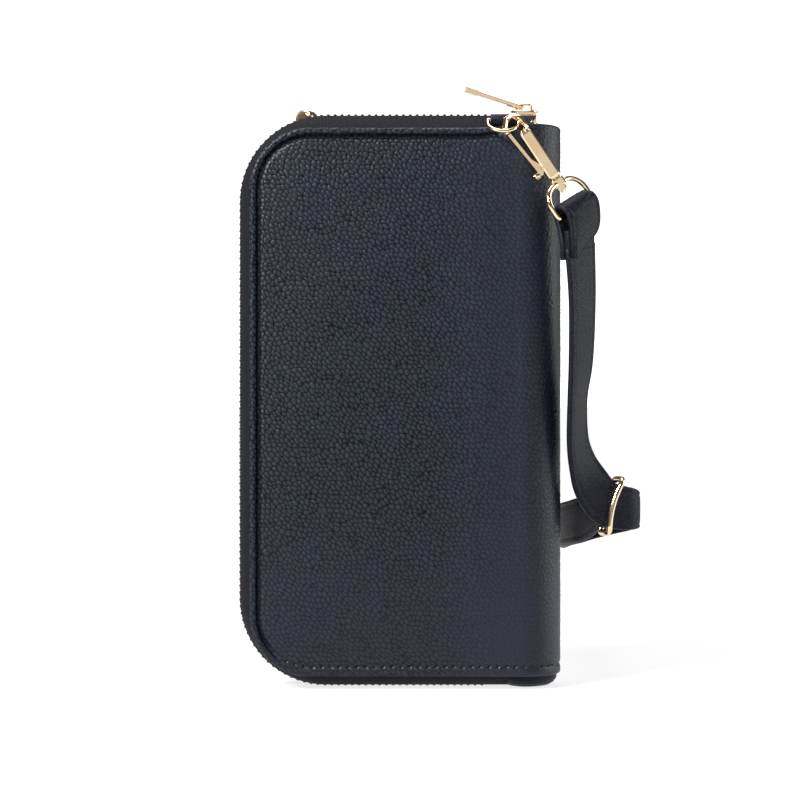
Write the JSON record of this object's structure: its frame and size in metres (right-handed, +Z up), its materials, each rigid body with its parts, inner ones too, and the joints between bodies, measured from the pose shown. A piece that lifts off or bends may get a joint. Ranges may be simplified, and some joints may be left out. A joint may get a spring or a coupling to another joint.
{
  "type": "wristlet wallet",
  "caption": "Zip-around phone wallet in pebbled leather with card slots, a coin page and a clip-on adjustable wrist strap.",
  "frame": {"origin": "middle of the face the closed wallet stands on, the underside of its lower zip run, half way between the covers", "axes": "+X to the right, towards the spine, with the back cover facing the viewer; +Y from the back cover to the front cover; +Z up"},
  "size_m": [0.1345, 0.158, 0.1994],
  "materials": {
    "pebbled_leather": "pebbled, soft satin",
    "rolled_leather": "pebbled, rolled edge",
    "strap_leather": "smooth satin",
    "inner_leather": "smooth matt",
    "lining_cloth": "woven",
    "padding_foam": "felted foam",
    "stiffener": "matt board",
    "zip_tape": "woven",
    "gold_metal": "polished, pale gold",
    "dark_zip_metal": "blackened, golden where worn",
    "coin_zip_plastic": "moulded coil",
    "spring_steel": "bright"
  },
  "bodies": {
    "wallet_back": {"back_skin": "pebbled_leather", "back_padding": "padding_foam", "back_board": "stiffener", "back_lining": "lining_cloth", "back_rolled_edge": "rolled_leather", "back_zip_tape": "zip_tape", "back_zip_teeth": "dark_zip_metal", "spine_skin": "pebbled_leather", "spine_lining": "lining_cloth", "top_zip_end": "inner_leather", "bottom_zip_end": "inner_leather", "card_slot_1": "inner_leather", "card_slot_2": "inner_leather", "card_slot_3": "inner_leather", "card_slot_4": "inner_leather", "card_slot_5": "inner_leather", "d_ring_tab": "rolled_leather"},
    "front_cover": {"front_skin": "pebbled_leather", "front_padding": "padding_foam", "front_board": "stiffener", "front_lining": "lining_cloth", "front_rolled_edge": "rolled_leather", "front_zip_tape": "zip_tape", "front_zip_teeth": "dark_zip_metal", "front_slip_pocket": "inner_leather", "strap_lug": "gold_metal", "strap_lug_screw": "gold_metal"},
    "coin_page": {"coin_pocket_back": "lining_cloth", "coin_pocket_front": "lining_cloth", "coin_pocket_gusset": "lining_cloth", "coin_tape_back": "zip_tape", "coin_tape_front": "zip_tape", "coin_zip_teeth": "coin_zip_plastic"},
    "coin_slider": {"coin_slider": "gold_metal"},
    "coin_pull": {"coin_pull": "gold_metal"},
    "main_slider": {"main_slider": "gold_metal"},
    "main_pull": {"main_pull": "gold_metal"},
    "d_ring": {"d_ring": "gold_metal"},
    "clasp": {"clasp_body": "gold_metal", "gate_pin": "gold_metal", "gate_spring": "spring_steel"},
    "gate": {"clasp_gate": "gold_metal", "clasp_thumb_knob": "gold_metal"},
    "swivel_eye": {"swivel_eye": "gold_metal"},
    "strap": {"strap_end": "strap_leather", "strap_run": "strap_leather", "strap_loop_outer": "strap_leather", "strap_loop_end": "strap_leather", "strap_loop_inner": "strap_leather", "strap_slide_fold": "strap_leather"},
    "strap_slide": {"strap_slide": "gold_metal"}
  },
  "joints": [
    {"name": "front_cover_open", "type": "hinge", "parent": "wallet_back", "child": "front_cover", "pos_m": [0.0395, 0.0142, 0.095], "axis": [0, 0, -1], "range_deg": [0, 90]},
    {"name": "page_turn", "type": "hinge", "parent": "wallet_back", "child": "coin_page", "pos_m": [0.0392, -0.0028, 0.095], "axis": [0, 0, -1], "range_deg": [0, 45]},
    {"name": "main_slider_slide", "type": "slide", "parent": "wallet_back", "child": "main_slider", "axis": [-1, 0, 0], "range_m": [0, 0.06]},
    {"name": "main_pull_turn", "type": "hinge", "parent": "main_slider", "child": "main_pull", "pos_m": [0.0406, 0, 0.19245], "axis": [0, 1, 0], "range_deg": [-20, 120]},
    {"name": "coin_slider_slide", "type": "slide", "parent": "coin_page", "child": "coin_slider", "axis": [-1, 0, 0], "range_m": [0, 0.04]},
    {"name": "coin_pull_turn", "type": "hinge", "parent": "coin_slider", "child": "coin_pull", "pos_m": [0.027, -0.0028, 0.1793], "axis": [0, 1, 0], "range_deg": [0, 60]},
    {"name": "d_ring_flip", "type": "hinge", "parent": "wallet_back", "child": "d_ring", "pos_m": [0.0338, -0.0134, 0.187], "axis": [-1, 0, 0], "range_deg": [0, 80]},
    {"name": "clasp_swing", "type": "hinge", "parent": "d_ring", "child": "clasp", "pos_m": [0.03841, -0.0166, 0.1846], "axis": [0, -1, 0], "range_deg": [0, 60]},
    {"name": "gate_open", "type": "hinge", "parent": "clasp", "child": "gate", "pos_m": [0.04638, -0.0166, 0.1708], "axis": [0, 1, 0], "range_deg": [0, 7], "stiffness_Nm_per_rad": 0.004},
    {"name": "swivel_turn", "type": "hinge", "parent": "clasp", "child": "swivel_eye", "pos_m": [0.04993, -0.0166, 0.16908], "axis": [0.5549, 0, -0.8319], "range_deg": [0, 60]},
    {"name": "strap_swing", "type": "hinge", "parent": "swivel_eye", "child": "strap", "pos_m": [0.0577, -0.0166, 0.15744], "axis": [-0.673, -0.5878, -0.4489], "range_deg": [0, 40]},
    {"name": "slide_tilt", "type": "hinge", "parent": "strap", "child": "strap_slide", "pos_m": [0.06968, 0.00471, 0.0595], "axis": [0.2712, 0.1367, 0.9528], "range_deg": [-2, 4]}
  ],
  "couplings": [
    {"joint": "page_turn", "follows": "front_cover_open", "ratio": 0.5}
  ]
}
